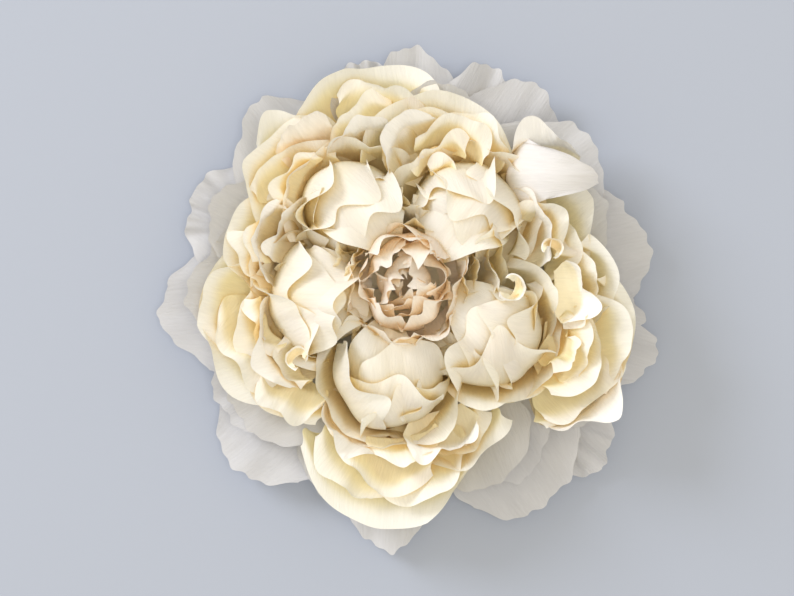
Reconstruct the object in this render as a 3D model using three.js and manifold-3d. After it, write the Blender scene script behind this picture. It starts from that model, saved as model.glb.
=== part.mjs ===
// A giant crepe-paper peony head, lying on its back. Millimetres, +Z up through the bloom.
// The origin is the middle of the flat back of the card disc that every petal is glued to.
import * as THREE from 'three';
import Module from 'manifold-3d';

const wasm = await Module();
wasm.setup();

// Driving dimensions
const PAPER = 0.8; // petal thickness: two sheets of heavy crepe glued together
const GAP = 0.4; // air kept between neighbouring pieces
const DISC_RADIUS = 100;
const DISC_THICKNESS = 3;
const PLUG_RADIUS = 9; // rolled-paper post that carries the heart petals
const PLUG_HEIGHT = 30;
const FOOT_RADIUS = 3; // glue blob that joins the feet of one cup's petals
const FOOT_STEP = 4.5; // pitch of a cup's petals at their feet, before the cup is flattened
const BALL_STEP = 2.8; // pitch of a ball's nested petals
const FOOT_RING = 88; // the cups' feet stand on the disc at this radius or beyond
const CUP_BOTTOM = 22; // underside of the cups, clear of the outer petals
const LOWEST = DISC_THICKNESS + GAP + PAPER / 2; // lowest middle surface of any petal

const IVORY = { color: 0xf3efe2, roughness: 0.85, metalness: 0 };
const CREAM = { color: 0xeee0b8, roughness: 0.85, metalness: 0 };
const BLUSH = { color: 0xe8d8c8, roughness: 0.85, metalness: 0 };
const CARD = { color: 0xe4dfd2, roughness: 0.9, metalness: 0 };

// Outer petals: azimuth, tip radius, width, root height, tip height, cupping, roll, seed.
// Lowest ring first; angles in degrees.
const GUARDS = [
  ['back', 87, 160, 66, 6, 18, 22, 8, 1],
  ['back_pleated', 103, 156, 58, 6, 18, 22, 8, 2],
  ['back_wavy', 71, 158, 58, 6, 18, 22, 8, 3],
  ['back_right', 57, 159, 74, 6, 18, 22, 8, 4],
  ['right', 14, 159, 74, 6, 18, 22, 8, 5],
  ['right_low', -14, 163, 56, 6, 18, 22, 8, 6],
  ['front_right_fringed', -40, 165, 56, 6, 18, 22, 8, 7],
  ['front_right', -59, 160, 80, 6, 18, 22, 8, 8],
  ['front', -97, 161, 64, 6, 18, 22, 8, 9],
  ['front_left', -136, 155, 78, 6, 18, 22, 8, 10],
  ['left', -175, 160, 74, 6, 18, 22, 8, 11],
  ['back_left_ruffled', 157, 158, 66, 6, 18, 22, 8, 12],
  ['back_left', 130, 157, 74, 6, 18, 22, 8, 13],
];

// Second ring, over the first
const SECOND_RING = [
  ['upper_back_right', 42, 147, 78, 14, 38, 34, 6, 21],
  ['upper_right_folded', -3, 147, 52, 14, 38, 34, 6, 22],
  ['upper_front_right', -53, 132, 58, 14, 38, 34, 6, 23],
  ['upper_right_cupped', -27, 150, 58, 14, 38, 34, 6, 24],
  ['upper_front_left', -151, 138, 60, 14, 38, 34, 6, 25],
  ['upper_left', 160, 138, 66, 14, 38, 34, 6, 26],
];

// One long petal that arches outwards over the back right cup
const ARCHED = { centre: [90, 68, 46], face: 176, rim: 236, span: 52, radius: 29, tall: 0.9 };

// Cups: name, centre x y z, direction it opens away from the heart, then each nested petal's
// radius, rim angle (90 is upright at the widest) and half width angle
const CUPS = [
  { name: 'cup_back', centre: [24, 77, 58], face: 91, petals: [[46, 104, 64], [38, 108, 60],
    [30, 112, 57], [22, 116, 54]] },
  { name: 'cup_back_left', centre: [-29, 92, 50], face: 100, petals: [[46, 104, 62], [37, 108, 58],
    [28, 112, 54]] },
  { name: 'cup_left_crowned', centre: [-61, 70, 52], face: 134, petals: [[37, 106, 58], [30, 110, 55],
    [23, 114, 52]] },
  { name: 'cup_left', centre: [-69, 33, 58], face: 176, petals: [[34, 112, 58], [27, 116, 56],
    [20, 120, 54]] },
  { name: 'cup_left_wide', centre: [-76, -14, 50], face: 192, petals: [[51, 100, 58], [43, 104, 56],
    [35, 108, 52]] },
  { name: 'cup_front_left', centre: [-55, -35, 58], face: 212, petals: [[34, 112, 56], [26, 116, 54]] },
  { name: 'cup_front', centre: [-16, -78, 52], face: 262, petals: [[54, 102, 62], [45, 106, 58],
    [36, 110, 54], [27, 114, 50]] },
  { name: 'cup_front_small', centre: [17, -70, 56], face: 282, petals: [[27, 118, 58], [20, 122, 54]] },
  { name: 'cup_right_wide', centre: [90, -33, 52], face: -16, petals: [[46, 104, 62], [38, 108, 58],
    [30, 112, 56], [22, 116, 52]] },
  { name: 'cup_right', centre: [96, 10, 58], face: 6, petals: [[22, 116, 64], [14, 116, 60]] },
  { name: 'cup_back_right', centre: [68, 38, 50], face: 22, petals: [[35, 108, 56], [28, 112, 54],
    [21, 116, 52]] },
];

// Balls: petals folded over each other towards the heart, outermost first. Each petal has
// the direction its back faces, its rim angle (180 is straight up) and its half width angle.
const BALLS = [
  { name: 'ball_back_left', centre: [-34, 56, 47], radius: 34, petals: [[170, 158, 78],
    [124, 186, 76], [116, 216, 76], [96, 240, 74]] },
  { name: 'ball_back_right', centre: [33, 50, 47], radius: 37, petals: [[112, 160, 76],
    [36, 160, 76], [70, 196, 76], [54, 226, 76]] },
  { name: 'ball_left', centre: [-56, -1, 47], radius: 34, petals: [[194, 158, 78],
    [186, 184, 76], [180, 208, 76], [176, 236, 74]] },
  { name: 'ball_front', centre: [-9, -50, 47], radius: 35, petals: [[232, 164, 78],
    [266, 186, 76], [256, 212, 76], [270, 240, 74]] },
  { name: 'ball_front_right', centre: [52, -21, 47], radius: 35, petals: [[286, 160, 78],
    [6, 160, 74], [340, 192, 76], [326, 222, 76]] },
];

// Heart: small frilled petals round the middle, as radius, direction, rim and half width angle
const HEART_CENTRE = [-3, 8, 58];
const HEART = [[25, 100, 112, 58], [24, 30, 110, 56], [24, 318, 112, 54], [24, 246, 112, 54],
  [24, 174, 112, 56], [13, 70, 116, 70], [12, 250, 114, 70]];

const BALL_TALL = 1.2; // height of a ball over its width
const HEART_TALL = 1.5;

const rad = THREE.MathUtils.degToRad;
const smooth = THREE.MathUtils.smoothstep;
const lerp = THREE.MathUtils.lerp;

// A gentle wave along a petal's edge
function ripple(x, seed) {
  return 0.6 * Math.sin(3.1 * x + 2.3 * seed) + 0.4 * Math.sin(6.7 * x + 4.1 * seed);
}

// Where the point (s, t) lies on the flat petal: s across from -1 to 1, t from foot to tip.
// root is the foot's share of the width, and round how far the sides fall short of the tip.
function outline(s, t, seed, root, round) {
  const grown = root + (1 - root) * Math.sin((Math.PI / 2) * Math.min(t / 0.7, 1));
  const side = s * grown * (1 - 0.12 * smooth(t, 0.7, 1));
  const reach = t - round * s * s * t * t + 0.03 * t ** 4 * ripple(s, seed);
  return { side, reach };
}

// How near the free edge a point is, 0 on the body and 1 at the edge
function edgeness(s, t) {
  return Math.max(smooth(t, 0.55, 1), smooth(Math.abs(s), 0.6, 1) * smooth(t, 0.3, 0.7));
}

// A petal bowed round a centre: it rises from below the centre, round the side it faces,
// and its rim may pass over the top
function bowedPetal(p) {
  const turn = rad(p.face);
  return (s, t) => {
    const { side, reach } = outline(s, t, p.seed, 0.4, p.round);
    const around = rad(lerp(p.foot, p.rim, reach));
    const across = rad(p.span) * side;
    const spread = smooth(t, 0, 0.5);
    const wave = p.wave * edgeness(s, t) * ripple(s + 0.35 * t, p.seed + 7);
    const r = lerp(p.footRadius, p.radius, spread) + wave + p.flare * smooth(t, 0.6, 1) ** 2;
    const out = r * Math.cos(across) * Math.sin(around);
    const along = r * Math.sin(across);
    const x = lerp(p.root[0], p.centre[0], spread);
    const y = lerp(p.root[1], p.centre[1], spread);
    return new THREE.Vector3(
      x + out * Math.cos(turn) - along * Math.sin(turn),
      y + out * Math.sin(turn) + along * Math.cos(turn),
      Math.max(p.centre[2] - r * p.tall * Math.cos(across) * Math.cos(around), LOWEST),
    );
  };
}

// A petal that spreads outwards from a root near the disc and bows across its width
function spreadPetal(p) {
  const turn = rad(p.azimuth);
  const half = p.width / 2;
  const run = p.tipRadius - p.rootRadius;
  return (s, t) => {
    const { side, reach } = outline(s, t, p.seed, 0.35, 0.36);
    const bow = Math.max(rad(p.cup) * smooth(t, 0, 0.6), 0.001) / 2;
    const lateral = (half / bow) * Math.sin(side * bow);
    const lift = (half / bow) * (1 - Math.cos(side * bow));
    const wave = p.wave * edgeness(s, t) * ripple(s + 0.3 * t, p.seed + 7);
    const tilt = rad(p.roll) * smooth(t, 0, 0.4);
    const out = p.rootRadius + run * reach;
    const along = lateral * Math.cos(tilt);
    const height = lerp(p.rootHeight, p.tipHeight, reach * reach) + lift + wave + lateral * Math.sin(tilt);
    return new THREE.Vector3(
      out * Math.cos(turn) - along * Math.sin(turn),
      out * Math.sin(turn) + along * Math.cos(turn),
      Math.max(height, LOWEST),
    );
  };
}

// A closed sheet of the given thickness about a surface; grow widens it past its edges
function sheetSolid(surface, columns, rows, thickness, grow) {
  const step = 0.02;
  const points = [];
  const normals = [];
  for (let i = 0; i <= columns; i += 1) {
    for (let j = 0; j <= rows; j += 1) {
      const s = lerp(-1 - grow, 1 + grow, i / columns);
      const t = lerp(-grow, 1 + grow, j / rows);
      const acrossway = surface(s + step, t).sub(surface(s - step, t));
      const lengthway = surface(s, t + step).sub(surface(s, t - step));
      points.push(surface(s, t));
      normals.push(acrossway.cross(lengthway).normalize());
    }
  }
  const vertices = [];
  for (const sign of [0.5, -0.5]) {
    points.forEach((point, k) => {
      vertices.push(...point.clone().addScaledVector(normals[k], sign * thickness).toArray());
    });
  }
  const lower = points.length;
  const at = (i, j) => i * (rows + 1) + j;
  const triangles = [];
  const quad = (a, b, c, d) => triangles.push(a, b, c, a, c, d);
  for (let i = 0; i < columns; i += 1) {
    for (let j = 0; j < rows; j += 1) {
      quad(at(i, j), at(i + 1, j), at(i + 1, j + 1), at(i, j + 1));
      quad(lower + at(i, j + 1), lower + at(i + 1, j + 1), lower + at(i + 1, j), lower + at(i, j));
    }
  }
  for (let i = 0; i < columns; i += 1) {
    quad(at(i + 1, 0), at(i, 0), lower + at(i, 0), lower + at(i + 1, 0));
    quad(at(i, rows), at(i + 1, rows), lower + at(i + 1, rows), lower + at(i, rows));
  }
  for (let j = 0; j < rows; j += 1) {
    quad(at(0, j), at(0, j + 1), lower + at(0, j + 1), lower + at(0, j));
    quad(at(columns, j + 1), at(columns, j), lower + at(columns, j), lower + at(columns, j + 1));
  }
  return toSolid(vertices, triangles);
}

function toSolid(vertices, triangles) {
  return new wasm.Manifold(new wasm.Mesh({
    numProp: 3,
    vertProperties: new Float32Array(vertices),
    triVerts: new Uint32Array(triangles),
  }));
}

// An upright cylinder as a solid
function postSolid(x, y, bottom, top, radius, sides) {
  const geometry = new THREE.CylinderGeometry(radius, radius, top - bottom, sides);
  geometry.rotateX(Math.PI / 2);
  geometry.translate(x, y, (top + bottom) / 2);
  return solidOf(geometry);
}

// A three.js geometry as a solid, with its shared corners merged
function solidOf(geometry) {
  const place = geometry.getAttribute('position');
  const seen = new Map();
  const vertices = [];
  const renumbered = [];
  for (let k = 0; k < place.count; k += 1) {
    const corner = [place.getX(k), place.getY(k), place.getZ(k)].map((c) => Math.round(c * 1e4) / 1e4);
    const key = corner.join();
    if (!seen.has(key)) {
      seen.set(key, seen.size);
      vertices.push(...corner);
    }
    renumbered.push(seen.get(key));
  }
  const triangles = Array.from(geometry.getIndex().array, (k) => renumbered[k]);
  return toSolid(vertices, triangles);
}

// The largest single body of a solid
function largest(solid) {
  return solid.decompose().reduce((best, body) => (body.volume() > best.volume() ? body : best));
}

function geometryOf(solid) {
  const mesh = solid.getMesh();
  const geometry = new THREE.BufferGeometry();
  geometry.setAttribute('position', new THREE.BufferAttribute(mesh.vertProperties, 3));
  geometry.setIndex(new THREE.BufferAttribute(mesh.triVerts, 1));
  geometry.computeVertexNormals();
  return geometry;
}

// A piece of paper: its solid, and the same a little larger for keeping others clear of it
function paperPiece(name, surfaces, finish, columns, rows, foot) {
  const solids = surfaces.map((surface) => sheetSolid(surface, columns, rows, PAPER, 0));
  const clear = surfaces.map((surface) => sheetSolid(surface, columns, rows, PAPER + 2 * GAP, 0.015));
  if (foot) {
    solids.push(postSolid(...foot, FOOT_RADIUS, 8));
    clear.push(postSolid(...foot, FOOT_RADIUS + GAP, 8));
  }
  const join = (list) => list.reduce((whole, piece) => whole.add(piece));
  return { name, finish, solid: join(solids), clear: join([...clear, ...solids]) };
}

function ballPieces(ball, index) {
  return ball.petals.map(([face, rim, span], layer) => {
    const surface = bowedPetal({
      centre: ball.centre,
      root: ball.centre,
      face,
      foot: 14,
      rim,
      span,
      radius: ball.radius - BALL_STEP * layer,
      footRadius: ball.radius - BALL_STEP * layer,
      tall: BALL_TALL,
      round: 0.1,
      wave: 0.3,
      flare: 0,
      seed: 10 * index + layer,
    });
    return paperPiece(`${ball.name}_petal_${layer + 1}`, [surface], IVORY, 7, 8);
  });
}

function cupPiece(cup, index) {
  const [x, y, z] = cup.centre;
  const out = Math.max(FOOT_RING / Math.hypot(x, y), 1);
  const widest = cup.petals[0][0];
  const surfaces = cup.petals.map(([radius, rim, span], layer) => bowedPetal({
    centre: cup.centre,
    root: [x * out, y * out],
    face: cup.face,
    foot: -5,
    rim,
    span,
    radius,
    footRadius: widest - FOOT_STEP * layer,
    tall: (z - CUP_BOTTOM) / widest,
    round: 0.3,
    wave: 0.8,
    flare: 1.5,
    seed: 100 + index,
  }));
  const foot = [x * out, y * out, DISC_THICKNESS + GAP, CUP_BOTTOM + 3 * cup.petals.length];
  return paperPiece(cup.name, surfaces, CREAM, 5, 4, foot);
}

function heartPieces() {
  return HEART.map(([radius, face, rim, span], index) => {
    const surface = bowedPetal({
      centre: HEART_CENTRE,
      root: HEART_CENTRE,
      face,
      foot: 24,
      rim,
      span,
      radius,
      footRadius: radius,
      tall: HEART_TALL,
      round: 0.3,
      wave: 1.2,
      flare: 1,
      seed: 300 + index,
    });
    return paperPiece(`heart_petal_${index + 1}`, [surface], BLUSH, 5, 4);
  });
}

function archedPiece() {
  const surface = bowedPetal({
    ...ARCHED,
    root: ARCHED.centre,
    foot: 66,
    footRadius: ARCHED.radius,
    round: 0.4,
    wave: 0.6,
    flare: 0,
    seed: 401,
  });
  return paperPiece('petal_arched', [surface], IVORY, 5, 6);
}

function guardPieces(rows, prefix, rootRadius) {
  return rows.map(([name, azimuth, tipRadius, width, rootHeight, tipHeight, cup, roll, seed]) => {
    const surface = spreadPetal({
      azimuth,
      tipRadius,
      width,
      rootRadius,
      rootHeight,
      tipHeight,
      cup,
      roll,
      wave: 2,
      seed,
    });
    return paperPiece(`${prefix}_${name}`, [surface], IVORY, 6, 5);
  });
}

// Each piece gives way to the ones before it, so that no two touch
function keepApart(pieces) {
  return pieces.map((piece, index) => {
    const before = pieces.slice(0, index);
    const solid = before.reduce((rest, other) => rest.subtract(other.clear), piece.solid);
    return { ...piece, solid: largest(solid) };
  });
}

const disc = postSolid(0, 0, 0, DISC_THICKNESS, DISC_RADIUS, 48);
const plug = postSolid(HEART_CENTRE[0], HEART_CENTRE[1], DISC_THICKNESS + GAP, PLUG_HEIGHT, PLUG_RADIUS, 16);

const pieces = keepApart([
  ...heartPieces(),
  ...BALLS.flatMap(ballPieces),
  ...CUPS.map(cupPiece),
  archedPiece(),
  ...guardPieces(SECOND_RING, 'petal', 78),
  ...guardPieces(GUARDS, 'guard', 74),
  { name: 'heart_plug', finish: CARD, solid: plug, clear: plug },
]);

const flower = new THREE.Group();
for (const piece of [{ name: 'backing_disc', finish: CARD, solid: disc }, ...pieces]) {
  const mesh = new THREE.Mesh(geometryOf(piece.solid), new THREE.MeshStandardMaterial(piece.finish));
  mesh.name = piece.name;
  flower.add(mesh);
}

export default flower;
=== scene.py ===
"""A giant crepe-paper peony head on a pale table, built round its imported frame.

The petals are set out in millimetres and degrees and turned to metres as they are made.
"""

from types import SimpleNamespace

import bpy
import numpy as np
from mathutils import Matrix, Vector


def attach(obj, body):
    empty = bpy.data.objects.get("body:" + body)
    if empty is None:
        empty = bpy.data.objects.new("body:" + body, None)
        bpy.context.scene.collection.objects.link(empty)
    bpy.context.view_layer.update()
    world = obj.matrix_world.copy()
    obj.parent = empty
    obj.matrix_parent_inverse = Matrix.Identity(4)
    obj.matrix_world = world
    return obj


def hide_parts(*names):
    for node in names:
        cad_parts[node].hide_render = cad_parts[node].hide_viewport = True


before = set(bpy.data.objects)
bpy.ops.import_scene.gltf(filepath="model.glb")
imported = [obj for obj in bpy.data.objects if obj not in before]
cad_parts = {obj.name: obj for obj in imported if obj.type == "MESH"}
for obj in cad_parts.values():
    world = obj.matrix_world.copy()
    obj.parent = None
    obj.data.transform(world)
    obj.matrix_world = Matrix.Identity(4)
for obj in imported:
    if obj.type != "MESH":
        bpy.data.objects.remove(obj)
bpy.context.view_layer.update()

MM = 0.001
LOWEST = 3.9  # lowest middle surface of a petal over the disc

WIDEST = 0.7  # share of its length at which a cut petal is widest
TIP_TAPER = 0.12  # share of its width that it loses from there to the tip
EDGE_PHASE = 3.2  # radians from midrib to side, of a wave with a count of 1
CUSP_FALL = 0.09  # share of the half width over which a cusp falls away
RUFFLE_HEIGHT = 0.45  # share of the length about which the ruffles fan out
FOLD_COUNTS = (0.8, 1.7)


def smooth(x, low, high):
    """0 below low, 1 above high, and an even curve between"""
    share = np.clip((np.asarray(x, dtype=float) - low) / (high - low), 0, 1)
    return share * share * (3 - 2 * share)


def mix(a, b, share):
    return a + (b - a) * share


# --- the surface of one petal -------------------------------------------------------

def waves(x, seed, counts):
    """A sum of sine waves with seeded heights and phases, each lower than the one before"""
    draw = np.random.default_rng(seed)
    total = np.zeros_like(x)
    for rank, count in enumerate(counts):
        height = draw.uniform(0.7, 1.0) / (1 + 0.7 * rank)
        total = total + height * np.sin(count * x + draw.uniform(0, 2 * np.pi))
    return total


def outline(s, t, p):
    """Side and reach of the cut petal: s across from -1 to 1, t from foot to tip"""
    grown = p.foot_width + (1 - p.foot_width) * np.sin(np.pi / 2 * np.clip(t / WIDEST, 0, 1))
    side = s * grown * (1 - TIP_TAPER * smooth(t, WIDEST, 1))
    reach = t - p.round * s * s * t * t - p.corner * s**6 * t**4
    reach = reach + p.ragged * t**3 * waves(EDGE_PHASE * s, p.seed, p.rags)
    draw = np.random.default_rng(p.seed + 1)
    for _ in range(p.cusps):
        place = draw.uniform(-0.8, 0.8)
        reach = reach + p.cusp * t**8 * np.exp(-np.abs(s - place) / CUSP_FALL)
    return side, reach


def frill(s, t, p):
    """Ruffles of the stretched edge and soft folds, in millimetres along the petal's normal"""
    around = np.arctan2(s, t - RUFFLE_HEIGHT)
    tip = smooth(t, 0.5, 1) ** 1.3
    sides = smooth(np.abs(s), 0.55, 1) * smooth(t, 0.2, 0.6)
    ruffle = waves(around, p.seed + 2, p.ruffles) * np.maximum(tip, sides) * p.frill
    fold = waves(4.0 * s + 0.8 * t, p.fold_seed, FOLD_COUNTS) * smooth(t, 0.1, 0.7) * p.fold
    return ruffle + fold


def rolled_lip(s, t, p):
    """How far the rim rolls outwards, more in some places than in others"""
    rolls = np.clip(0.55 + 0.75 * waves(2.4 * s, p.seed + 4, (1.0, 2.2)), 0, 1.6)
    past = np.clip((t - p.lift) / (1 - p.lift), 0, 1.2)
    return p.lip * rolls * (1 - p.taper * s * s) * past ** 2


def bowed(p):
    """A petal bowed round a centre, from below it, round the side it faces, to its rim"""
    turn = np.radians(p.face)

    def surface(s, t):
        side, reach = outline(s, t, p)
        around = np.radians(mix(p.foot, p.rim + p.skew * s, reach))
        across = np.radians(p.span) * side
        spread = smooth(t, 0, 0.5)
        r = mix(p.foot_radius, p.radius, spread) + frill(s, t, p)
        r = r + p.flare * smooth(t, 0.6, 1) ** 2 + rolled_lip(s, t, p)
        out = r * np.cos(across) * np.sin(around)
        along = r * np.sin(across) * p.wide
        x = mix(p.root[0], p.centre[0], spread) + out * np.cos(turn) - along * np.sin(turn)
        y = mix(p.root[1], p.centre[1], spread) + out * np.sin(turn) + along * np.cos(turn)
        z = p.centre[2] - r * p.tall * np.cos(across) * np.cos(around)
        return np.stack([x, y, np.maximum(z, LOWEST)], -1)

    return surface


def spread_out(p):
    """A petal that spreads outwards from a root near the disc and bows across its width"""
    turn = np.radians(p.azimuth)
    half = p.width / 2

    def surface(s, t):
        side, reach = outline(s, t, p)
        bow = np.maximum(np.radians(p.cup) * smooth(t, 0, 0.6), 0.001) / 2
        lateral = half / bow * np.sin(side * bow)
        lift = half / bow * (1 - np.cos(side * bow))
        tilt = np.radians(p.roll) * smooth(t, 0, 0.4)
        out = mix(p.root_radius, p.tip_radius, reach)
        along = lateral * np.cos(tilt) + p.sweep * reach**2
        height = mix(p.root_height, p.tip_height, reach * reach) + lift
        height = height + frill(s, t, p) + lateral * np.sin(tilt)
        x = out * np.cos(turn) - along * np.sin(turn)
        y = out * np.sin(turn) + along * np.cos(turn)
        return np.stack([x, y, np.maximum(height, LOWEST)], -1)

    return surface


# What a petal is made with. The cut: round (how much shorter its sides are), corner (how much its
# corners are cut back), foot_width, ragged and rags (height and counts of the edge's waves), cusps
# and cusp (number and length of its points). The paper: frill and ruffles (height and counts of the
# ruffles), fold (height of the soft folds).
CUT = dict(round=0.3, foot_width=0.4, cusps=2, ruffles=(4.5, 8.5, 15.0), rags=(0.8, 1.7, 3.4, 6.5))

# A bowed petal also has foot (the angle it starts at, 0 is straight below), skew, flare (how far it
# opens near the rim), lip, lift and taper (depth, start and narrowing of the rolled rim), and wide
# and tall (its shape against a ball's).
BOWED = dict(CUT, foot=0, corner=0.1, ragged=0.03, cusp=0.03, frill=1.5, fold=0.4, skew=0, flare=0,
             lip=0, wide=1, tall=1, lift=0.8, taper=0)
SPREAD = dict(CUT, corner=0, ragged=0.035, cusp=0.02, frill=1.6, fold=1.8)

SLOW_RAGS = (0.8, 1.7, 3.0)
CORE = dict(BOWED, foot=14, tall=1.2, round=0.02, frill=0, fold=0.6, cusps=0, foot_width=0.8)
HOOD = dict(BOWED, foot=14, tall=1.2, round=0.1, corner=0.14, frill=0.5, fold=1.5, lip=7.5, lift=0.76,
            rags=(0.9, 1.8, 2.7), cusps=0, foot_width=0.7)
COLLAR = dict(BOWED, foot=10, tall=1.35, round=0.2, frill=0.6, fold=1.8, flare=2, lip=5.0, lift=0.86,
              ragged=0.035, rags=SLOW_RAGS, cusps=1, cusp=0.04)
CUP = dict(BOWED, foot=-5, round=0.2, frill=0.6, flare=2.5, lip=5.5, lift=0.84, fold=2.4, ragged=0.045,
           rags=SLOW_RAGS, ruffles=(2.5, 5.5, 11.0), cusps=1, cusp=0.045)
SCRAP = dict(BOWED, foot=55, foot_width=0.8, tall=0.8, round=0.12, frill=0.8, fold=2.4, lip=6.5,
             lift=0.6, rags=(1.2, 2.4, 4.1), ruffles=(2.0, 4.0, 8.0))
GAP = dict(BOWED, foot=20, tall=1.2, round=0.24, frill=1.0, fold=1.6, flare=1, lip=4.0, ragged=0.05,
           cusp=0.04)
FOLD = dict(BOWED, foot=14, tall=1.2, round=0.05, foot_width=0.8, frill=0.5, fold=1.4, taper=0.8,
            ragged=0.025, rags=SLOW_RAGS, cusps=1, cusp=0.05)
ROLL = dict(BOWED, foot=24, rim=92, span=148, foot_width=0.8, tall=2.2, round=0.1, frill=0.3, fold=0.7,
            flare=1, ragged=0.04, cusps=0)
CROWN = dict(BOWED, foot=14, tall=1.2, round=0.12, frill=0.8, fold=1.0, flare=4, lip=2, cusps=9,
             cusp=0.07)
ARCH = dict(BOWED, centre=(90, 76, 48), root=(90, 76), face=178, foot=62, rim=238, span=48, radius=30,
            foot_radius=30, tall=0.9, round=0.7, frill=1.0, lip=0.8, fold=0.8, cusps=1, cusp=0.08)


def petal(defaults, **facts):
    return SimpleNamespace(**{**defaults, "fold_seed": facts["seed"] + 3, **facts})


# --- from surfaces to meshes --------------------------------------------------------

def sheet(surface, columns, rows):
    """Corners, faces, paper coordinates and growth of one sheet of paper, in metres"""
    s, t = np.meshgrid(np.linspace(-1, 1, columns + 1), np.linspace(0, 1, rows + 1), indexing="ij")
    corners = surface(s, t) * MM

    # paper coordinates: metres across from the midrib, and along from the foot
    along = np.linalg.norm(np.diff(corners, axis=1), axis=-1)
    along = np.concatenate([np.zeros((columns + 1, 1)), np.cumsum(along, axis=1)], axis=1)
    across = np.linalg.norm(np.diff(corners, axis=0), axis=-1)
    across = np.concatenate([np.zeros((1, rows + 1)), np.cumsum(across, axis=0)], axis=0)
    across -= across[columns // 2]

    at = np.arange(s.size).reshape(s.shape)
    faces = np.stack([at[:-1, :-1], at[1:, :-1], at[1:, 1:], at[:-1, 1:]], -1).reshape(-1, 4)
    return corners.reshape(-1, 3), faces, np.stack([across, along], -1).reshape(-1, 2), t.ravel()


def piece(name, surfaces, material, slot, grid, *nodes):
    """One mesh of one or more petals, which stands for its CAD nodes"""
    corners, faces, uvs, growths, start = [], [], [], [], 0
    for surface in surfaces:
        c, f, uv, growth = sheet(surface, *grid)
        corners.append(c)
        faces.append(f + start)
        uvs.append(uv)
        growths.append(growth)
        start += len(c)
    corners, faces = np.concatenate(corners), np.concatenate(faces)
    uvs, growths = np.concatenate(uvs), np.concatenate(growths)
    mesh = bpy.data.meshes.new(name)
    mesh.from_pydata(corners, [], faces)
    mesh.polygons.foreach_set("use_smooth", np.ones(len(faces), dtype=bool))
    paper = mesh.uv_layers.new(name="paper")
    loops = np.empty(len(mesh.loops), dtype=np.int32)
    mesh.loops.foreach_get("vertex_index", loops)
    paper.data.foreach_set("uv", uvs[loops].astype(np.float32).ravel())
    layer = mesh.attributes.new("growth", "FLOAT", "POINT")
    layer.data.foreach_set("value", growths.astype(np.float32))
    mesh.materials.append(material)
    mesh.update()
    thing = bpy.data.objects.new(name, mesh)
    bpy.context.scene.collection.objects.link(thing)
    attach(thing, "root")
    if nodes:
        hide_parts(*nodes)
    return thing


# --- materials ----------------------------------------------------------------------

CRINKLE_APART, CRINKLE_LONG = 1.6e-3, 14e-3
CLOUD_ACROSS, CLOUD_ALONG = 25e-3, 40e-3
PAINTED_SHADE_REACH = 0.014  # how near other paper has to be for the painted crevice shade to show


def linear(colour):
    """A #rrggbb sRGB colour as linear RGBA"""
    parts = [int(colour[k:k + 2], 16) / 255 for k in (1, 3, 5)]
    return [c / 12.92 if c <= 0.04045 else ((c + 0.055) / 1.055) ** 2.4 for c in parts] + [1]


def node(tree, kind, settings=None, inputs=None, **links):
    """Adds a node, sets its properties and sockets, and links its named inputs"""
    new = tree.nodes.new(kind)
    for name, value in (settings or {}).items():
        setattr(new, name, value)
    for name, value in (inputs or {}).items():
        new.inputs[name].default_value = value
    for name, source in links.items():
        key = int(name[1:]) if name[1:].isdigit() else name.replace("_", " ")
        tree.links.new(source, new.inputs[key])
    return new


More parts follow.
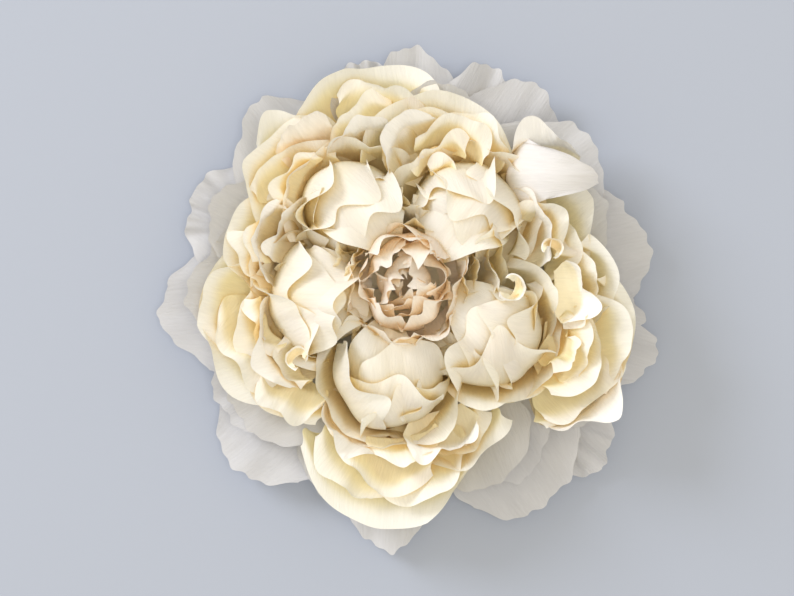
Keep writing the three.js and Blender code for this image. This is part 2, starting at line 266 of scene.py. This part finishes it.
def crepe(name, rim, foot, span, through, glow, painted_crevice_shade):
    """Heavy crepe paper: matt pulp with a fine lengthwise crinkle, which lets some light through

    Its colour goes from foot to rim over span. This is partly the paper's tint and partly painted: the
    warmer foot is painted shade deep in the cups and balls, and the whiter rim is painted highlight.
    Near other paper it turns to its crevice colour, a painted shade in the crevices. The share of the
    light that comes through it takes on the colour glow.
    """
    material = bpy.data.materials.new(name)
    material.use_nodes = True
    tree = material.node_tree
    tree.nodes.clear()
    paper = node(tree, "ShaderNodeUVMap", {"uv_map": "paper"}).outputs["UV"]
    growth = node(tree, "ShaderNodeAttribute", {"attribute_name": "growth"}).outputs["Fac"]

    stretch = node(tree, "ShaderNodeMapping", None,
                   {"Scale": (1 / CRINKLE_APART, 1 / CRINKLE_LONG, 1)}, Vector=paper)
    crinkle = node(tree, "ShaderNodeTexNoise", {"noise_dimensions": "2D"},
                   {"Scale": 1.0, "Detail": 3.0, "Roughness": 0.6}, Vector=stretch.outputs["Vector"])
    pulp = node(tree, "ShaderNodeMapping", None,
                {"Scale": (1 / CLOUD_ACROSS, 1 / CLOUD_ALONG, 1)}, Vector=paper)
    cloud = node(tree, "ShaderNodeTexNoise", {"noise_dimensions": "2D"},
                 {"Scale": 1.0, "Detail": 2.0}, Vector=pulp.outputs["Vector"])

    # painted shade and painted highlight along each petal, partly the paper's own tint: warmer and more
    # golden towards the foot, deep in the cups and balls, and whiter at the rim
    depth = node(tree, "ShaderNodeMapRange", {"interpolation_type": "SMOOTHSTEP"},
                 {"From Min": span[0], "From Max": span[1]}, Value=growth)
    tint_and_painted_shade = node(tree, "ShaderNodeMix", {"data_type": "RGBA"},
                {6: linear(foot), 7: linear(rim)}, _0=depth.outputs["Result"])
    lines = node(tree, "ShaderNodeMapRange", None,
                 {"From Min": 0.3, "From Max": 0.7, "To Min": 0.965, "To Max": 1.015},
                 Value=crinkle.outputs["Fac"])
    patch = node(tree, "ShaderNodeMapRange", None,
                 {"From Min": 0.3, "From Max": 0.7, "To Min": 0.97, "To Max": 1.02},
                 Value=cloud.outputs["Fac"])
    shade = node(tree, "ShaderNodeMath", {"operation": "MULTIPLY"}, None,
                 _0=lines.outputs["Result"], _1=patch.outputs["Result"])
    # painted shade in the crevices: where other paper is near, the colour turns warmer and darker,
    # standing in for light that has bounced off cream paper many times between the sheets
    crevice_occlusion = node(tree, "ShaderNodeAmbientOcclusion", {"samples": 4}, {"Distance": PAINTED_SHADE_REACH})
    painted_shade_share = node(tree, "ShaderNodeMapRange", {"interpolation_type": "SMOOTHSTEP"},
                  {"From Min": 0.0, "From Max": 0.5, "To Min": 1.0, "To Max": 0.0},
                  Value=crevice_occlusion.outputs["AO"])
    with_painted_shade = node(tree, "ShaderNodeMix", {"data_type": "RGBA"}, {7: linear(painted_crevice_shade)},
                  _0=painted_shade_share.outputs["Result"], _6=tint_and_painted_shade.outputs[2])
    tone = node(tree, "ShaderNodeVectorMath", {"operation": "SCALE"}, None,
                _0=with_painted_shade.outputs[2], Scale=shade.outputs["Value"])
    bump = node(tree, "ShaderNodeBump", None, {"Strength": 0.8, "Distance": 0.4e-3},
                Height=crinkle.outputs["Fac"])
    solid = node(tree, "ShaderNodeBsdfPrincipled", None,
                 {"Roughness": 0.88, "IOR": 1.45, "Specular IOR Level": 0.25, "Sheen Weight": 0.08},
                 Base_Color=tone.outputs["Vector"], Normal=bump.outputs["Normal"])
    warm = node(tree, "ShaderNodeMix", {"data_type": "RGBA", "blend_type": "MULTIPLY"},
                {0: 1.0, 7: linear(glow)}, _6=tone.outputs["Vector"])
    thin = node(tree, "ShaderNodeBsdfTranslucent", None, None,
                Color=warm.outputs[2], Normal=bump.outputs["Normal"])
    both = node(tree, "ShaderNodeMixShader", None, {0: through}, _1=solid.outputs["BSDF"],
                _2=thin.outputs["BSDF"])
    node(tree, "ShaderNodeOutputMaterial", None, None, Surface=both.outputs["Shader"])
    return material


def board(name, colour, dark, fibre, grain):
    """Pressed board or rolled paper: short fibres, with darker flecks a grain apart"""
    material = bpy.data.materials.new(name)
    material.use_nodes = True
    tree = material.node_tree
    tree.nodes.clear()
    place = node(tree, "ShaderNodeTexCoord").outputs["Object"]
    fibres = node(tree, "ShaderNodeTexNoise", None,
                  {"Scale": 1 / fibre, "Detail": 4.0, "Roughness": 0.7}, Vector=place)
    flecks = node(tree, "ShaderNodeTexVoronoi", None, {"Scale": 1 / grain}, Vector=place)
    share = node(tree, "ShaderNodeMapRange", None,
                 {"From Min": 0.0, "From Max": 0.35, "To Min": 0.6, "To Max": 0.0},
                 Value=flecks.outputs["Distance"])
    tone = node(tree, "ShaderNodeMix", {"data_type": "RGBA"}, {6: linear(colour), 7: linear(dark)},
                _0=share.outputs["Result"])
    bump = node(tree, "ShaderNodeBump", None, {"Strength": 0.5, "Distance": 0.2e-3},
                Height=fibres.outputs["Fac"])
    solid = node(tree, "ShaderNodeBsdfPrincipled", None, {"Roughness": 0.92, "Specular IOR Level": 0.2},
                 Base_Color=tone.outputs[2], Normal=bump.outputs["Normal"])
    node(tree, "ShaderNodeOutputMaterial", None, None, Surface=solid.outputs["BSDF"])
    return material


# a whiter copy of the ivory paper for the folds and rolled tips, which paints them as lit: painted
# highlight
PAINTED_LIT_WHITE = crepe("crepe_paper_painted_lit", "#fefefe", "#fbf4dc", (0.6, 0.8), 0.10, "#fffdf2", "#f8e2b4")
PEARL = crepe("crepe_paper_pearl", "#e8e8ec", "#efebe5", (0.0, 0.6), 0.12, "#fffdf6", "#ecdfcc")
# the foot and crevice colours of the ivory and cream papers are partly painted shade, and the cream's
# are more golden to paint the shade inside the cups
IVORY = crepe("crepe_paper_ivory", "#fbfbf8", "#faf6e2", (0.60, 0.92), 0.26, "#fff8da", "#f9e5ae")
CREAM = crepe("crepe_paper_cream", "#fefefc", "#fbf3d0", (0.70, 0.96), 0.24, "#fffadc", "#f9de9e")
BLUSH = crepe("crepe_paper_blush", "#fefcf8", "#fdf4e6", (0.5, 0.98), 0.30, "#fff8ea", "#fae2bc")
OUTER = crepe("crepe_paper_outer", "#dadbe0", "#e6e6e4", (0.1, 0.7), 0.2, "#fffdf6", "#e4dccb")

# fibres about 1 mm across, flecks 3 to 5 mm apart
CARD = board("pressed_white_board", "#e6e3da", "#cfc9ba", 0.8e-3, 3e-3)
ROLLED = board("rolled_tissue_paper", "#f0e6d2", "#e0cfae", 1.2e-3, 5e-3)


# --- the bloom ----------------------------------------------------------------------

# First seed of each group's random draws, with BLOCK seeds for a ball or cup and STEP for a petal
SEEDS = dict(ball=1000, collar=1600, cup=2000, stray=2500, heart=3000, gap=3600, arch=4001,
             second=5000, guard=6000, inner=7000, fold=8000, roll=8200, crown=8300)
BLOCK, STEP, RING_STEP = 50, 7, 11

# Columns and rows of faces in one petal
GRIDS = dict(ball=(44, 48), collar=(36, 32), cup=(36, 32), heart=(24, 24), gap=(32, 30),
             fold=(40, 36), roll=(40, 20), crown=(60, 40), ring=(44, 40), arch=(40, 44))

# Balls: a core, two end petals, then hoods folded over each other towards the heart. Each ball has
# its centre, its width against its depth, and its rows. A row is a petal's radius, the direction its
# back faces, its rim angle (180 is straight up), its half width angle and its skew.
BALL_CORE = (24.5, 300, 84)  # radius, rim angle and half width angle
BALL_WAVE = 9.5  # how far a hood's cut edge swings
BALLS = {
    "ball_back_left": ((-34, 54, 46), 1.0, [
        (29.5, 60, 146, 62, 0), (30.0, 222, 150, 58, 0), (27.0, 116, 246, 74, 14),
        (29.0, 124, 222, 74, -14), (31.0, 120, 198, 70, 16), (33.0, 146, 172, 68, -14),
        (35.0, 176, 148, 64, 6)]),
    "ball_back_right": ((33, 50, 46), 1.04, [
        (29.5, 336, 148, 60, 0), (30.0, 150, 150, 58, 0), (27.0, 60, 244, 76, -12),
        (29.0, 52, 220, 74, 14), (31.0, 74, 196, 70, -16), (33.0, 56, 174, 68, 14),
        (35.0, 118, 158, 54, -14), (36.5, 18, 148, 56, 6)]),
    "ball_left": ((-54, 1, 46), 1.04, [
        (29.0, 96, 144, 60, 0), (29.5, 276, 144, 60, 0), (26.5, 186, 254, 76, -8),
        (28.5, 178, 234, 74, 8), (30.5, 190, 212, 72, -8), (32.5, 180, 190, 70, 8),
        (34.5, 186, 168, 68, -8), (36.5, 200, 142, 62, 6)]),
    "ball_front": ((-12, -46, 46), 1.06, [
        (29.5, 176, 148, 58, 0), (30.0, 352, 150, 60, 0), (27.0, 276, 250, 76, 10),
        (29.0, 264, 226, 74, -12), (31.0, 276, 200, 72, 14), (33.0, 256, 178, 70, -14),
        (35.0, 300, 152, 60, 10), (36.5, 210, 160, 54, -10)]),
    "ball_front_right": ((48, -20, 46), 1.04, [
        (29.5, 240, 148, 58, 0), (30.0, 60, 146, 60, 0), (27.0, 316, 248, 76, -10),
        (29.0, 328, 224, 74, 12), (31.0, 318, 200, 72, -14), (33.0, 340, 178, 68, 14),
        (35.0, 350, 150, 60, -8), (36.5, 276, 160, 66, 8)]),
}

# Collars: petals that stand open round the outer side of a ball. Each row is a petal's radius,
# direction, rim angle and half width angle.
COLLAR_HEIGHT = 66
COLLARS = {
    "ball_back_left": [(42, 150, 90, 60), (41, 84, 96, 44)],
    "ball_back_right": [(43, 20, 90, 52), (44, 74, 90, 50), (41, 122, 96, 38)],
    "ball_left": [(42, 210, 88, 58), (43, 150, 90, 44)],
    "ball_front": [(43, 212, 88, 52), (45, 262, 88, 54), (43, 314, 92, 44)],
    "ball_front_right": [(43, 280, 88, 54), (44, 334, 88, 52), (42, 32, 94, 42)],
}
FOOT_IN = 6  # how much nearer to its centre the foot of a collar, gap or crowned petal is

HEART_CENTRE = (-3, 9)
HEART_BOTTOM = 71
HEART_NODES = 7
# Rings of the heart from outside in: radius, petals, rim angle
HEART_RINGS = [(35, 6, 126), (29, 5, 134), (23, 5, 144), (16.5, 4, 152), (9.5, 3, 160)]
# Gap petals round the heart, between the balls: radius, direction, rim angle, half width angle
GAPS = [
    (35, 85, 104, 34), (43, 82, 94, 30), (34, 156, 106, 30), (42, 158, 96, 26), (34, 225, 106, 34),
    (43, 224, 94, 28), (36, 294, 104, 32), (45, 296, 94, 28), (35, 8, 106, 38), (43, 14, 98, 34),
    (51, 2, 90, 32), (55, 16, 100, 30), (62, 24, 96, 26),
]

# Cups: nested petals that stand open round their own middle. Each cup has its centre, its direction
# and its rows. A row is a petal's radius, its turn from the cup's direction, its rim angle (90 is
# upright) and its half width angle.
CUP_BOTTOM = 22
CUP_RISE, CUP_FOOT_IN, CUP_SKEW = 1.5, 4.5, 9  # from one petal to the next one inside it
FOOT_RING = 88  # radius on the disc where the feet of the cups are glued
STRAY = ((-6, -6, -2), (6, 6, 5))  # how far the inner petals stray from the cup's centre
CUPS = {
    "cup_back": ((17, 74, 64), 91, [
        (48, 0, 84, 74), (40, -34, 88, 40), (38, 34, 90, 44), (29, -16, 94, 56), (20, 22, 98, 56),
        (12, -20, 102, 60)]),
    "cup_back_left": ((-24, 98, 58), 104, [(46, 0, 80, 70), (37, -26, 86, 44), (28, 24, 92, 50)]),
    "cup_left_crowned": ((-58, 64, 60), 134, [
        (50, -26, 84, 34), (44, 26, 84, 56), (34, -16, 90, 54), (24, 18, 96, 52)]),
    "cup_left": ((-66, 28, 64), 176, [(42, 0, 86, 60), (33, 28, 90, 42), (25, -20, 96, 50)]),
    "cup_left_wide": ((-76, -8, 56), 190, [
        (54, 0, 80, 66), (45, -26, 86, 46), (43, 34, 86, 42), (32, -10, 92, 50), (21, 22, 98, 52)]),
    "cup_front_left": ((-58, -32, 62), 212, [(42, 0, 86, 60), (33, 30, 90, 42), (23, -18, 96, 50)]),
    "cup_front": ((-12, -74, 58), 265, [
        (62, 0, 80, 68), (52, -32, 86, 40), (50, 26, 86, 44), (38, -12, 90, 52), (27, 18, 96, 50)]),
    "cup_front_small": ((22, -68, 64), 292, [(34, 0, 88, 60), (25, 16, 94, 52)]),
    "cup_right_wide": ((86, -28, 60), -20, [
        (50, 0, 82, 74), (43, -28, 88, 46), (40, 30, 88, 50), (31, -8, 92, 60), (21, 14, 98, 58),
        (12, -14, 102, 60)]),
    "cup_right": ((90, 6, 64), -10, [(32, 0, 86, 74), (22, 26, 92, 60), (14, -26, 96, 54)]),
    "cup_back_right": ((70, 36, 62), 34, [(42, 0, 84, 68), (33, -24, 90, 48), (24, 18, 96, 54)]),
}

# Folds: petals whose rims curl widely over, in a whiter paper that paints them as lit. Each row is a
# centre, a radius, a direction, a rim angle, a half width angle and the depth of the curl.
FOLD_FOOT_IN = 5
FOLDS = [
    ((19, 79, 76), 35, 140, 94, 44, 9), ((15, -66, 70), 29, 285, 94, 56, 11),
    ((84, -34, 62), 47, -48, 90, 42, 11), ((86, 4, 74), 22, -2, 92, 62, 8),
    ((-52, 30, 73), 43, 172, 94, 42, 9), ((-52, 30, 72), 34, 150, 96, 40, 7),
    ((-50, -18, 72), 43, 196, 94, 46, 10), ((84, 68, 60), 30, 96, 98, 52, 11),
    ((-18, 64, 72), 44, 112, 94, 30, 7), ((46, 34, 74), 40, 20, 94, 40, 7),
    ((-10, -50, 70), 49, 228, 92, 30, 8),
]
# Rolled tips: a centre, a radius and the direction of the roll's back
ROLLS = [((62, 6, 86), 7.5, -20), ((-70, -38, 74), 6.5, 130), ((87, 30, 74), 6, 60)]
# The fringed petal: its centre, radius, direction, rim angle and half width angle
CROWNED = ((-48, 74, 76), 36, 126, 86, 32)

# Spreading petals: azimuth, tip radius, width, sweep, tip height
GUARDS = {
    "back": (87, 160, 72, 4, 18), "back_pleated": (102, 156, 66, 0, 15),
    "back_wavy": (69, 158, 66, 0, 15), "back_right": (57, 157, 86, 0, 18),
    "right": (14, 159, 86, 0, 20), "right_low": (-15, 163, 60, 0, 12),
    "front_right_fringed": (-40, 166, 66, 0, 14), "front_right": (-56, 160, 96, 0, 18),
    "front": (-97, 161, 70, 4, 12), "front_left": (-138, 156, 92, 0, 16),
    "left": (-176, 160, 86, 0, 16), "back_left_ruffled": (156, 157, 80, 0, 15),
    "back_left": (130, 158, 86, 0, 18),
}
SECOND_RING = {
    "upper_back_right": (42, 151, 90, 0, 36), "upper_right_folded": (-5, 147, 56, 0, 28),
    "upper_front_right": (-56, 134, 74, 0, 28), "upper_right_cupped": (-28, 147, 70, 0, 34),
    "upper_front_left": (-150, 142, 72, 0, 26), "upper_left": (154, 141, 70, 0, 30),
}
INNER_RING = {
    "inner_back": (80, 138, 84, 0, 44), "inner_back_left": (118, 138, 88, 0, 42),
    "inner_left": (176, 140, 90, 0, 38), "inner_front_left": (214, 132, 90, 0, 36),
    "inner_front": (250, 136, 90, 0, 34), "inner_front_right": (292, 128, 90, 0, 40),
    "inner_right": (-12, 138, 84, 0, 42), "inner_back_right": (28, 138, 86, 0, 46),
}
PLEATED = ("back_pleated", "front_right_fringed", "back_left_ruffled")
PLEATS, RUFFLES = (11.0, 19.0, 27.0), (2.2, 4.2, 7.0)


def build_balls():
    for index, (name, (centre, wide, rows)) in enumerate(BALLS.items()):
        seed = SEEDS["ball"] + BLOCK * index
        radius, rim, span = BALL_CORE
        surfaces = [bowed(petal(
            CORE, centre=centre, root=centre, face=rows[2][1], rim=rim, span=span, radius=radius,
            foot_radius=radius, wide=wide, seed=seed))]
        for layer, (radius, face, rim, span, skew) in enumerate(rows):
            length = radius * np.radians(rim - HOOD["foot"])
            surfaces.append(bowed(petal(
                HOOD, centre=centre, root=centre, face=face, rim=rim, span=span, skew=skew,
                radius=radius, foot_radius=radius, wide=wide, ragged=BALL_WAVE / length,
                seed=seed + STEP * (layer + 1), fold_seed=seed + 3)))
        groups = [surfaces[:2], surfaces[2:4], surfaces[4:6], surfaces[6:]]
        for k, group in enumerate(groups):
            node_name = f"{name}_petal_{k + 1}"
            piece(f"{node_name}_paper", group, IVORY, "ivory_crepe", GRIDS["ball"], node_name)
        collar = [bowed(petal(
            COLLAR, centre=(centre[0], centre[1], COLLAR_HEIGHT), root=centre, face=face, rim=rim,
            span=span, radius=radius, foot_radius=radius - FOOT_IN, wide=wide,
            seed=SEEDS["collar"] + BLOCK * index + STEP * k))
            for k, (radius, face, rim, span) in enumerate(COLLARS[name])]
        piece(f"collar_{name}", collar, CREAM, "cream_crepe", GRIDS["collar"])


def build_cups():
    for index, (name, (centre, face, rows)) in enumerate(CUPS.items()):
        x, y, z = centre
        out = max(FOOT_RING / np.hypot(x, y), 1)
        widest = rows[0][0]
        draw = np.random.default_rng(SEEDS["stray"] + index)
        stray = np.concatenate([np.zeros((1, 3)), draw.uniform(*STRAY, (len(rows) - 1, 3))])
        surfaces = [bowed(petal(
            CUP, centre=(x, y, z + CUP_RISE * layer) + stray[layer], root=(x * out, y * out),
            face=face + turn, rim=rim, span=span, skew=CUP_SKEW * (-1) ** layer, radius=radius,
            foot_radius=widest - CUP_FOOT_IN * layer, tall=(z - CUP_BOTTOM) / widest,
            seed=SEEDS["cup"] + BLOCK * index + STEP * layer))
            for layer, (radius, turn, rim, span) in enumerate(rows)]
        piece(f"{name}_paper", surfaces, CREAM, "cream_crepe", GRIDS["cup"], name)


def build_heart():
    """Rings of short frilled petals that lean in over each other, none of them quite in line"""
    draw = np.random.default_rng(SEEDS["heart"])
    surfaces = []
    for ring, (radius, count, rim) in enumerate(HEART_RINGS):
        for k in range(count):
            face = 360 * (k + 0.5 * (ring % 2)) / count + draw.uniform(-20, 20)
            centre = (HEART_CENTRE[0] + draw.uniform(-3, 3), HEART_CENTRE[1] + draw.uniform(-3, 3),
                      HEART_BOTTOM + draw.uniform(-3, 3))
            surfaces.append(bowed(petal(
                SCRAP, centre=centre, root=centre, face=face, rim=rim + draw.uniform(-12, 8),
                span=min(240 / count, 76), skew=draw.uniform(-14, 14),
                radius=radius + draw.uniform(-1.5, 1.5), foot_radius=radius, cusp=3.0 / radius,
                ragged=2.2 / radius, seed=SEEDS["heart"] + len(surfaces))))
    # each node's piece holds petals from all round the heart
    for k in range(HEART_NODES):
        node_name = f"heart_petal_{k + 1}"
        piece(f"{node_name}_paper", surfaces[k::HEART_NODES], BLUSH, "blush_crepe", GRIDS["heart"],
              node_name)
    gaps = [bowed(petal(
        GAP, centre=(*HEART_CENTRE, HEART_BOTTOM), root=HEART_CENTRE, face=face, rim=rim, span=span,
        radius=radius, foot_radius=radius - FOOT_IN, seed=SEEDS["gap"] + STEP * k))
        for k, (radius, face, rim, span) in enumerate(GAPS)]
    piece("heart_collar", gaps, IVORY, "ivory_crepe", GRIDS["gap"])


def build_ring(rows, prefix, root_radius, root_height, cup, roll, seed, stands=True):
    """A ring of spreading petals, which stand for CAD nodes of the same names if stands is true"""
    for index, (name, (azimuth, tip_radius, width, sweep, tip_height)) in enumerate(rows.items()):
        surface = spread_out(petal(
            SPREAD, azimuth=azimuth, tip_radius=tip_radius, width=width, sweep=sweep, cup=cup, roll=roll,
            root_radius=root_radius, root_height=root_height, tip_height=tip_height,
            ruffles=PLEATS if name in PLEATED else RUFFLES, seed=seed + RING_STEP * index))
        nodes = [f"{prefix}_{name}"] if stands else []
        piece(f"{prefix}_{name}_paper", [surface], OUTER, "outer_crepe", GRIDS["ring"], *nodes)


def build_arched():
    surface = bowed(petal(ARCH, seed=SEEDS["arch"]))
    piece("petal_arched_paper", [surface], PEARL, "ivory_crepe", GRIDS["arch"], "petal_arched")


def build_folds():
    """Folds and small rolled tips in a whiter paper that paints them as lit, and the fringed petal at
    the back left
    """
    folds = [bowed(petal(
        FOLD, centre=centre, root=centre, face=face, rim=rim, span=span, radius=radius,
        foot_radius=radius - FOLD_FOOT_IN, lip=lip, seed=SEEDS["fold"] + STEP * k))
        for k, (centre, radius, face, rim, span, lip) in enumerate(FOLDS)]
    piece("painted_lit_folds", folds, PAINTED_LIT_WHITE, "ivory_crepe", GRIDS["fold"])
    rolls = [bowed(petal(
        ROLL, centre=centre, root=centre, face=face, radius=radius, foot_radius=0.6 * radius,
        seed=SEEDS["roll"] + STEP * k)) for k, (centre, radius, face) in enumerate(ROLLS)]
    piece("rolled_tips", rolls, PAINTED_LIT_WHITE, "ivory_crepe", GRIDS["roll"])
    centre, radius, face, rim, span = CROWNED
    crown = bowed(petal(
        CROWN, centre=centre, root=centre, face=face, rim=rim, span=span, radius=radius,
        foot_radius=radius - FOOT_IN, seed=SEEDS["crown"]))
    piece("fringed_petal", [crown], BLUSH, "blush_crepe", GRIDS["crown"])


build_balls()
build_cups()
build_heart()
build_ring(INNER_RING, "petal", root_radius=60, root_height=12, cup=50, roll=8, seed=SEEDS["inner"],
           stands=False)
build_ring(SECOND_RING, "petal", root_radius=70, root_height=12, cup=36, roll=6, seed=SEEDS["second"])
build_ring(GUARDS, "guard", root_radius=74, root_height=6, cup=22, roll=8, seed=SEEDS["guard"])
build_arched()
build_folds()

for name, material in (("backing_disc", CARD), ("heart_plug", ROLLED)):
    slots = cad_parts[name].data.materials
    slots.clear()
    slots.append(material)


# --- table, light and camera --------------------------------------------------------

TABLE_HALF, TABLE_DROP = 3, 0.0005
FILL = 0.82  # strength of the light from all round
CAMERA_X, CAMERA_HEIGHT = -0.0085, 1.5
VIEW_WIDTH, SENSOR = 0.516, 36  # metres of table across the view, millimetres of sensor


def matt(name, colour, roughness):
    material = bpy.data.materials.new(name)
    material.use_nodes = True
    shader = material.node_tree.nodes["Principled BSDF"]
    shader.inputs["Base Color"].default_value = linear(colour)
    shader.inputs["Roughness"].default_value = roughness
    shader.inputs["Specular IOR Level"].default_value = 0.2
    return material


table = bpy.data.meshes.new("table_top")
table.from_pydata([(TABLE_HALF * x, TABLE_HALF * y, -TABLE_DROP)
                   for x, y in ((-1, -1), (1, -1), (1, 1), (-1, 1))], [], [(0, 1, 2, 3)])
table.materials.append(matt("pale_table", "#adb5c6", 0.9))
floor = bpy.data.objects.new("table_top", table)
bpy.context.scene.collection.objects.link(floor)


def area_light(name, place, size, power, colour):
    """A round light of a size in metres and a power in watts, turned to the bloom"""
    light = bpy.data.lights.new(name, "AREA")
    light.shape, light.size, light.energy = "DISK", size, power
    light.color = linear(colour)[:3]
    lamp = bpy.data.objects.new(name, light)
    lamp.location = place
    lamp.rotation_euler = (-Vector(place)).to_track_quat("-Z", "Y").to_euler()
    bpy.context.scene.collection.objects.link(lamp)


area_light("window", (-2.8, 1.9, 2.1), size=1.8, power=86, colour="#f6f8ff")
area_light("ceiling", (0.2, -0.1, 3.0), size=1.2, power=24, colour="#fff8ea")
world = bpy.data.worlds.new("room")
world.use_nodes = True
world.node_tree.nodes["Background"].inputs["Color"].default_value = linear("#fdf5e4")
world.node_tree.nodes["Background"].inputs["Strength"].default_value = FILL
bpy.context.scene.world = world
bpy.context.scene.view_settings.view_transform = "Standard"

camera = bpy.data.cameras.new("camera")
camera.sensor_width = SENSOR
camera.lens = CAMERA_HEIGHT * SENSOR / VIEW_WIDTH
eye = bpy.data.objects.new("camera", camera)
eye.location = (CAMERA_X, 0, CAMERA_HEIGHT)
bpy.context.scene.collection.objects.link(eye)
bpy.context.scene.camera = eye
